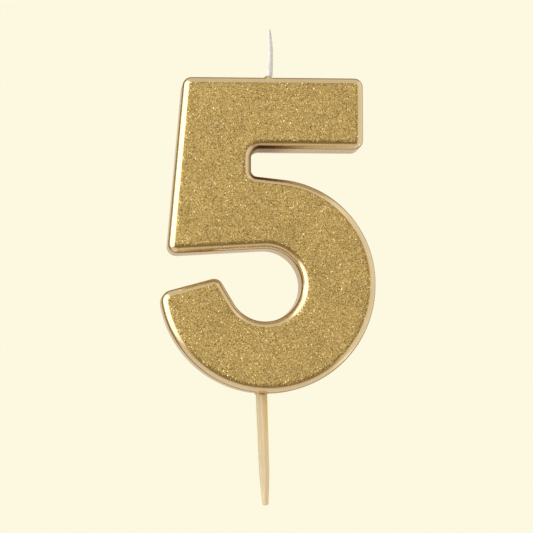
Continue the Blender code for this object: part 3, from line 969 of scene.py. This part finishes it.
def braid_tree():
    """Three strands that cross over each other along the input curve, and draw together above
    the tip height."""
    tree, given, result = growth("Wick Braid", ("Strand Radius", "Float"), ("Lay", "Float"),
                                 ("Width", "Float"), ("Tip Height", "Float"))
    fine = node(tree, "GeometryNodeResampleCurve", {"mode": "COUNT"}, Curve=given["Geometry"],
                Count=260)
    strands = node(tree, "GeometryNodeDuplicateElements", {"domain": "SPLINE"},
                   Geometry=fine.outputs[0], Amount=3)
    height = axis_of(tree, node(tree, "GeometryNodeInputPosition").outputs[0], "Z")
    cycles = maths(tree, "DIVIDE", height, given["Lay"])
    third = maths(tree, "DIVIDE", strands.outputs["Duplicate Index"], 3.0)
    phase = times(tree, maths(tree, "ADD", cycles, third), 2 * math.pi)
    above = maths(tree, "SUBTRACT", height, given["Tip Height"])
    drawn = times(tree, maths(tree, "DIVIDE", above, TIP_DRAW, clamp=True), 0.7)
    loose = maths(tree, "SUBTRACT", 1.0, drawn)
    across = times(tree, maths(tree, "SINE", phase), given["Width"])
    twice = maths(tree, "SINE", times(tree, phase, 2.0))
    deep = times(tree, times(tree, twice, given["Width"]), 0.55)
    shift = node(tree, "ShaderNodeCombineXYZ", in_0=times(tree, across, loose),
                 in_1=times(tree, deep, loose))
    moved = node(tree, "GeometryNodeSetPosition", Geometry=strands.outputs["Geometry"],
                 Offset=shift.outputs[0])
    section = node(tree, "GeometryNodeCurvePrimitiveCircle", Resolution=10,
                   Radius=given["Strand Radius"])
    tubes = node(tree, "GeometryNodeCurveToMesh", Curve=moved.outputs[0],
                 Profile_Curve=section.outputs[0], Fill_Caps=True)
    smooth = node(tree, "GeometryNodeSetShadeSmooth", in_0=tubes.outputs[0])
    output_as(tree, given, result, smooth.outputs[0])
    return tree


# ---- wick

FOOT_FADE = 1.6 * MM            # heights in which the wax foot narrows and comes back to the middle
SHIFT_FADE = 1.5 * MM
SLEEVE_SIDES, BEAD_SIDES, PICK_SIDES, COLLAR_SIDES = 32, 48, 72, 64
SLEEVE_ROWS, BORE_ROWS, PATH_POINTS = 90, 30, 60
SLEEVE_SHORT = 0.3 * MM         # the cotton shows this much above the wax
CROSSING_HEIGHT = 0.02 * MM     # how far the braid's crossings stand out through the wax
STRAND_ROOM = 0.03 * MM
TIP_ZONE = 0.7 * MM


def wick_bow(sizes, z):
    """How far the wick's centre stands right of its axis at a height."""
    part = (z - TOP_Z) / (BRAID_HIGH.z - TOP_Z)
    part = min(max(part, 0.0), 1.0)
    return sizes.bow * math.sin(math.pi * part) - 0.3 * sizes.bow * part ** 3


def sleeve_radius(sizes, z):
    """Radius of the wick's wax: a flared foot, an even waist and a long narrow tip."""
    foot = (sizes.foot_radius - sizes.waist_radius) * math.exp(-(z - TOP_Z) / FOOT_FADE)
    narrowing = min(1.0, max(0.0, (BRAID_HIGH.z - z) / sizes.taper))
    growth = (sizes.waist_radius - sizes.tip_radius) * math.sin(narrowing * math.pi / 2)
    return sizes.tip_radius + growth + foot


def wick_sleeve(sizes):
    """The wax round the braid: uneven, with the braid's crossings showing through."""
    shape = bmesh.new()
    low, high = BEAD_HIGH.z - 0.1 * MM, BRAID_HIGH.z - SLEEVE_SHORT

    def bore_centre(z):
        return WICK_X + wick_bow(sizes, z)

    def centre(z):
        return bore_centre(z) - sizes.foot_shift * math.exp(-(z - TOP_Z) / SHIFT_FADE)

    def radius(z, turn):
        crossings = math.cos(2 * math.pi * z / sizes.lay * 1.5 + 2 * turn)
        lump = lump_at(turn, z / (1.4 * MM))
        return sleeve_radius(sizes, z) * (1.0 + 0.05 * lump) + CROSSING_HEIGHT * crossings

    bore = sizes.tip_radius * 0.8
    outer = turned_rings(shape, spaced(low, high, SLEEVE_ROWS), radius, centre, SLEEVE_SIDES)
    inner = turned_rings(shape, spaced(high - 0.05 * MM, low, BORE_ROWS),
                         lambda z, turn: bore, bore_centre, SLEEVE_SIDES)
    rings_between(shape, outer + inner + [outer[0]])
    return finish_mesh("wick_sleeve", shape, 60.0)


def wick_core(sizes, material):
    """The braid, grown along a curve that follows the wick's bow."""
    curve = bpy.data.curves.new("wick path", "CURVE")
    curve.dimensions = "3D"
    spline = curve.splines.new("POLY")
    heights = spaced(BRAID_LOW.z, BRAID_HIGH.z - 0.02 * MM, PATH_POINTS)
    spline.points.add(len(heights) - 1)
    for point, z in zip(spline.points, heights):
        point.co = (WICK_X + wick_bow(sizes, z), 0.0, z, 1.0)
    path = linked("wick path", curve)
    grow(path, braid_tree(), {
        "Strand Radius": sizes.strand, "Lay": sizes.lay,
        "Width": WICK_RADIUS - sizes.strand - STRAND_ROOM,
        "Tip Height": BRAID_HIGH.z - TIP_ZONE, "Material": material})
    return evaluated_copy(path, "wick_cotton")


def bead_shape(sizes):
    """The bead of gold at the wick's foot, fuller on its left."""
    shape = bmesh.new()
    reach = (BEAD_HIGH.x - BEAD_LOW.x) / 2
    bore = sizes.tip_radius * 1.2
    base = BEAD_LOW.z
    around = turns(BEAD_SIDES)

    def radius_at(turn):
        lump = 0.5 * lump_at(turn, 4.0, 1.5)
        return reach * (0.94 - sizes.lump * math.cos(turn) * 0.45 + sizes.lump * lump)

    rings = [[(radius_at(turn), height) for turn in around] for height in (base, TOP_Z - 0.02 * MM)]
    for climb in spaced(0.0, math.pi / 2, 12)[1:]:
        rings.append([(bore + (radius_at(turn) - bore) * math.cos(climb) ** 1.3,
                       TOP_Z + sizes.bead_rise * (1.0 - 0.25 * math.cos(turn)) * math.sin(climb) * 0.95)
                      for turn in around])
    rings.append([(bore, base)] * BEAD_SIDES)
    verts = []
    for ring in rings:
        row = []
        for turn, (radius, z) in zip(around, ring):
            off = sizes.bead_shift * (radius - bore) / (reach - bore)
            row.append(shape.verts.new((WICK_X - off + radius * math.cos(turn),
                                        radius * math.sin(turn), z)))
        verts.append(row)
    rings_between(shape, verts + [verts[0]])
    return finish_mesh("gold_bead", shape, 60.0)


# ---- pick

COLLAR_CLEARANCE = 0.035 * MM
COLLAR_TOP, COLLAR_EDGE = 0.45 * MM, 0.05 * MM
COLLAR_LIP = 0.04 * MM
FLAT_DEPTH = 0.012              # the turning's flats and the slow lumps, as shares of the radius
LUMP_DEPTH = 0.014
FIBRE_HEIGHT = 0.018 * MM


def lean_matrix(sizes):
    return Matrix.Rotation(-sizes.lean, 4, "Y")


def pick_length(sizes):
    """Length of pick below the numeral, along its own axis."""
    return -PICK_LOW.z / math.cos(sizes.lean)


def pick_radius(sizes, z):
    """Radius at a height along the pick's axis."""
    tip = -pick_length(sizes)
    neck = tip + sizes.point
    if z >= 0.0:
        return sizes.radius
    if z >= neck:
        return sizes.neck_radius + (sizes.radius - sizes.neck_radius) * (z - neck) / -neck
    part = (z - tip) / sizes.point
    radius = sizes.tip_radius + (sizes.neck_radius - sizes.tip_radius) * part ** 0.85
    close = (z - tip) / sizes.tip_rounding
    if close < 1.0:
        radius -= sizes.tip_rounding * (1.0 - math.sqrt(max(0.0, 1.0 - (1.0 - close) ** 2)))
    return radius


def pick_shape(sizes):
    """The pick: slightly faceted by its turning, with raised fibres along it."""
    shape = bmesh.new()
    tip = -pick_length(sizes)
    top = PICK_HIGH.z / math.cos(sizes.lean)
    heights = [tip + sizes.tip_rounding * (1.0 - math.cos(turn))
               for turn in spaced(0.0, math.pi / 2, 6)]
    heights += spaced(tip + sizes.tip_rounding, 0.0, 110)[1:] + spaced(0.0, top, 12)[1:]

    def radius_at(z, turn):
        flat = FLAT_DEPTH * math.cos(5 * turn + 40.0 * z)
        fibre = noise.noise(Vector((math.cos(turn) * 9.0, math.sin(turn) * 9.0, z / (9.0 * MM))))
        slow = lump_at(turn, z / (4.0 * MM))
        return pick_radius(sizes, z) * (1.0 + flat + LUMP_DEPTH * slow) + FIBRE_HEIGHT * fibre

    rings = turned_rings(shape, heights, radius_at, lambda z: 0.0, PICK_SIDES)
    rings_between(shape, rings)
    shape.faces.new(rings[0])
    shape.faces.new(rings[-1])
    shape.transform(lean_matrix(sizes))
    return finish_mesh("bamboo_pick", shape, 40.0)


def collar_shape(sizes):
    """The lacquer that ran round the pick: a thin skirt on the numeral that climbs down it."""
    shape = bmesh.new()
    bore = sizes.radius + COLLAR_CLEARANCE
    reach = bore + sizes.collar_wall
    profile = [(reach, COLLAR_TOP), (reach, COLLAR_EDGE)]
    for turn in spaced(0.0, math.pi / 2, 12)[1:]:
        profile.append((reach + (bore + COLLAR_LIP - reach) * math.sin(turn) ** 0.8,
                        COLLAR_EDGE - (sizes.collar_drop + COLLAR_EDGE) * (1.0 - math.cos(turn))))
    profile += [(bore, -sizes.collar_drop), (bore, COLLAR_TOP)]
    runs = [1.0 + 0.35 * lump_at(turn, 2.0, 1.7) for turn in turns(COLLAR_SIDES)]
    rings = [[shape.verts.new((radius * math.cos(turn), radius * math.sin(turn),
                               z * run if z < 0.0 else z))
              for turn, run in zip(turns(COLLAR_SIDES), runs)] for radius, z in profile]
    rings_between(shape, rings + [rings[0]])
    shape.transform(lean_matrix(sizes))
    return finish_mesh("lacquer_collar", shape, 50.0)


# ---- studio

WHITE = (1.0, 0.98, 0.94)
CREAM = (1.0, 0.89, 0.72)
ROOM = (0.21, 0.128, 0.050)     # what the pieces see between the panels
SWEEP_REACH, SWEEP_BACK, SWEEP_HIGH, SWEEP_BEND = 2.2, 1.4, 2.4, 0.5

# Tint, azimuth, height, half width, half height, softness, strength
STUDIO_PANELS = [
    (WHITE, -6, 5, 0.36, 0.36, 0.20, 1.30),
    (WHITE, -80, 10, 0.60, 0.86, 0.26, 2.6),
    (WHITE, 90, 5, 1.15, 1.05, 0.25, 0.76),
    (WHITE, 0, 80, 0.95, 1.00, 0.35, 0.60),
    (WHITE, 0, -104, 1.32, 0.78, 0.20, 0.68),
    (CREAM, 180, 0, 0.24, 0.24, 0.07, 0.52),
]


def softbox(tree, place, azimuth, height, half_width, half_height, soft, strength):
    """A soft-edged panel of light, seen in a direction: azimuth from the front, to the right
    positive, and height above the horizon. Half sizes are tangents."""
    turn, rise = math.radians(azimuth), math.radians(height)
    level = math.cos(rise)
    axis = Vector((math.sin(turn) * level, -math.cos(turn) * level, math.sin(rise)))
    across = Vector((math.cos(turn), math.sin(turn), 0.0))
    upward = across.cross(axis)

    def dot(direction):
        return vector_maths(tree, "DOT_PRODUCT", place, tuple(direction), "Value")

    facing = maths(tree, "MAXIMUM", dot(axis), 0.001)
    mask = strength
    for direction, half in ((across, half_width), (upward, half_height)):
        off = maths(tree, "ABSOLUTE", maths(tree, "DIVIDE", dot(direction), facing))
        mask = times(tree, mask, ramp(tree, off, half - soft, half + soft, 1.0, 0.0))
    return times(tree, mask, ramp(tree, dot(axis), 0.02, 0.12))


def studio_world(sizes):
    """A pale room with soft panels round the candle. The camera sees plain paper."""
    world = bpy.data.worlds.new("studio")
    world.use_nodes = True
    tree = world.node_tree
    tree.nodes.clear()
    place = node(tree, "ShaderNodeTexCoord").outputs["Generated"]
    total = ROOM
    for tint, *panel in STUDIO_PANELS:
        glow = node(tree, "ShaderNodeVectorMath", {"operation": "SCALE"}, in_0=tint)
        plug(tree, glow.inputs["Scale"], softbox(tree, place, *panel))
        total = vector_maths(tree, "ADD", total, glow.outputs[0])
    light = node(tree, "ShaderNodeBackground", Color=total, Strength=1.0).outputs[0]
    paper = node(tree, "ShaderNodeBackground", Color=sizes.paper, Strength=1.0).outputs[0]
    seen = node(tree, "ShaderNodeLightPath").outputs["Is Camera Ray"]
    mixed = node(tree, "ShaderNodeMixShader", in_0=seen, in_1=light, in_2=paper)
    result = tree.nodes.new("ShaderNodeOutputWorld")
    tree.links.new(mixed.outputs[0], result.inputs["Surface"])
    bpy.context.scene.world = world


def paper_sweep(sizes):
    """The floor and the backdrop: one sheet of pale paper with a wide bend."""
    shape = bmesh.new()
    profile = [(-SWEEP_REACH, sizes.floor_z)]
    for turn in spaced(0.0, math.pi / 2, 16):
        profile.append((SWEEP_BACK - SWEEP_BEND * (1.0 - math.sin(turn)),
                        sizes.floor_z + SWEEP_BEND * (1.0 - math.cos(turn))))
    profile.append((SWEEP_BACK, SWEEP_HIGH))
    rows = [[shape.verts.new((side * SWEEP_REACH, y, z)) for y, z in profile] for side in (-1, 1)]
    for i in range(len(profile) - 1):
        shape.faces.new((rows[0][i], rows[1][i], rows[1][i + 1], rows[0][i + 1]))
    sweep = finish_mesh("paper_sweep", shape)
    material, tree, shader = new_material("paper")
    tree.nodes.remove(shader)
    glow = node(tree, "ShaderNodeEmission", Color=sizes.paper, Strength=1.0)
    tree.links.new(glow.outputs[0], tree.nodes["Material Output"].inputs["Surface"])
    sweep.data.materials.append(material)
    for ray in ("glossy", "diffuse", "transmission", "shadow"):
        setattr(sweep, "visible_" + ray, False)


def place_camera(sizes):
    data = bpy.data.cameras.new("camera")
    camera = linked("camera", data)
    camera.location = (sizes.camera_side, -sizes.camera_distance, sizes.camera_height)
    aim = Vector((sizes.aim_x, FRONT_Y, sizes.aim_z))
    view = aim - camera.location
    upright = view.to_track_quat("-Z", "Y").to_matrix() @ Matrix.Rotation(sizes.roll, 3, "Z")
    camera.rotation_euler = upright.to_euler()
    data.sensor_width = 36.0
    data.lens = data.sensor_width * view.length / sizes.view_width
    data.clip_start = 0.01
    data.clip_end = 20.0
    bpy.context.scene.camera = camera


# ---- operators

class CANDLE_OT_stage(bpy.types.Operator):
    """Set up the camera, the pale floor and the soft studio light"""
    bl_idname = "candle.stage"
    bl_label = "Stage"

    def execute(self, context):
        sizes = context.scene.candle_stage
        place_camera(sizes)
        paper_sweep(sizes)
        studio_world(sizes)
        context.scene.view_settings.view_transform = "Standard"
        return {"FINISHED"}


class CANDLE_OT_numeral(bpy.types.Operator):
    """Make the numeral's gold coat: rim, walls, back and hollow"""
    bl_idname = "candle.numeral"
    bl_label = "Gold coat"

    def execute(self, context):
        sizes, pick = context.scene.candle_numeral, context.scene.candle_pick
        shell = numeral_shell(sizes)
        wick_hole = round_cutter("wick opening", WICK_OPENING, TOP_Z - 1.2 * MM, TOP_Z + 1.0 * MM,
                                 WICK_X, 0.0)
        pick_hole = round_cutter("pick opening", pick.radius + PICK_CLEARANCE, -1.0 * MM, 1.2 * MM,
                                 0.0, pick.lean)
        coat = cut(shell, [hollow_cutter(sizes), wick_hole, pick_hole])
        # The lacquer gets its painted shade round the notch's inner corner.
        notch = Vector((sizes.bowl_x - sizes.notch_reach, TOP_Z - sizes.bar_height - 2.0 * MM))
        lacquer = lacquer_finish("gold lacquer", context.scene.candle_lacquer, 0.0, corner=notch)
        settle(coat, lacquer, "gold_lacquer", "gold_coat")
        return {"FINISHED"}


class CANDLE_OT_core(bpy.types.Operator):
    """Give the wax inside the coat its finish"""
    bl_idname = "candle.core"
    bl_label = "Wax core"

    def execute(self, context):
        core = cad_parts["wax_core"]
        core.data.materials.clear()
        core.data.materials.append(core_finish())
        return {"FINISHED"}


class CANDLE_OT_glitter(bpy.types.Operator):
    """Lay the glitter film on the face and scatter the flakes on it"""
    bl_idname = "candle.glitter"
    bl_label = "Glitter"

    def execute(self, context):
        glitter = context.scene.candle_glitter
        film = glitter_film(context.scene.candle_numeral)
        bed = linked("flake bed", film.data.copy())
        grow(bed, flake_tree(), {
            "Flake Size": glitter.flake, "Density": glitter.density, "Tilt": glitter.tilt,
            "Seed": glitter.seed, "Material": flake_finish(glitter)})
        flakes = evaluated_copy(bed, "glitter_flakes")
        if len(flakes.data.polygons) == 0:
            raise RuntimeError("the scatter left no flakes")
        settle(film, film_finish(glitter), "gold_glitter", "glitter_face")
        settle(flakes, None, "gold_glitter")
        return {"FINISHED"}


class CANDLE_OT_wick(bpy.types.Operator):
    """Braid the wick, dip it in wax and set the bead at its foot"""
    bl_idname = "candle.wick"
    bl_label = "Wick"

    def execute(self, context):
        sizes = context.scene.candle_wick
        braid = wick_core(sizes, cotton_finish(sizes))
        if len(braid.data.polygons) == 0:
            raise RuntimeError("the braid has no strands")
        settle(braid, None, "cotton", "wick_braid")
        settle(wick_sleeve(sizes), sleeve_finish(sizes), "wick_wax", "wick_wax")
        lacquer = lacquer_finish("gold bead", context.scene.candle_lacquer, 0.45, 0.4)
        settle(bead_shape(sizes), lacquer, "gold_lacquer", "wick_bead")
        return {"FINISHED"}


class CANDLE_OT_pick(bpy.types.Operator):
    """Turn the bamboo pick and run the lacquer round it"""
    bl_idname = "candle.pick"
    bl_label = "Pick"

    def execute(self, context):
        sizes = context.scene.candle_pick
        settle(pick_shape(sizes), bamboo_finish(sizes), "bamboo", "pick")
        # The collar's darker brown is partly the lacquer's own tone and partly painted contact shade
        # where the pick enters the numeral.
        lacquer = lacquer_finish("collar lacquer and painted shade", context.scene.candle_lacquer, 0.6, 0.25)
        settle(collar_shape(sizes), lacquer, "gold_lacquer", "pick_collar")
        return {"FINISHED"}


class CANDLE_PT_sidebar(bpy.types.Panel):
    """The candle's pieces and sizes"""
    bl_idname = "CANDLE_PT_sidebar"
    bl_label = "Number Candle"
    bl_space_type = "VIEW_3D"
    bl_region_type = "UI"
    bl_category = "Candle"

    def draw(self, context):
        layout = self.layout
        for operator in OPERATORS:
            layout.operator(operator.bl_idname)
        for name, group in GROUPS.items():
            box = layout.box()
            box.label(text=name.replace("candle_", "").capitalize())
            for item in group.__annotations__:
                box.prop(getattr(context.scene, name), item)


OPERATORS = (CANDLE_OT_stage, CANDLE_OT_numeral, CANDLE_OT_core, CANDLE_OT_glitter,
             CANDLE_OT_wick, CANDLE_OT_pick)


def register():
    for group in GROUPS.values():
        bpy.utils.register_class(group)
    for name, group in GROUPS.items():
        setattr(bpy.types.Scene, name, PointerProperty(type=group))
    for operator in OPERATORS:
        bpy.utils.register_class(operator)
    bpy.utils.register_class(CANDLE_PT_sidebar)


def unregister():
    bpy.utils.unregister_class(CANDLE_PT_sidebar)
    for operator in reversed(OPERATORS):
        bpy.utils.unregister_class(operator)
    for name in GROUPS:
        delattr(bpy.types.Scene, name)
    for group in reversed(list(GROUPS.values())):
        bpy.utils.unregister_class(group)


def main():
    register()
    bpy.ops.candle.stage()
    bpy.ops.candle.numeral()
    bpy.ops.candle.core()
    bpy.ops.candle.glitter()
    bpy.ops.candle.wick()
    bpy.ops.candle.pick()


if __name__ == "__main__":
    main()
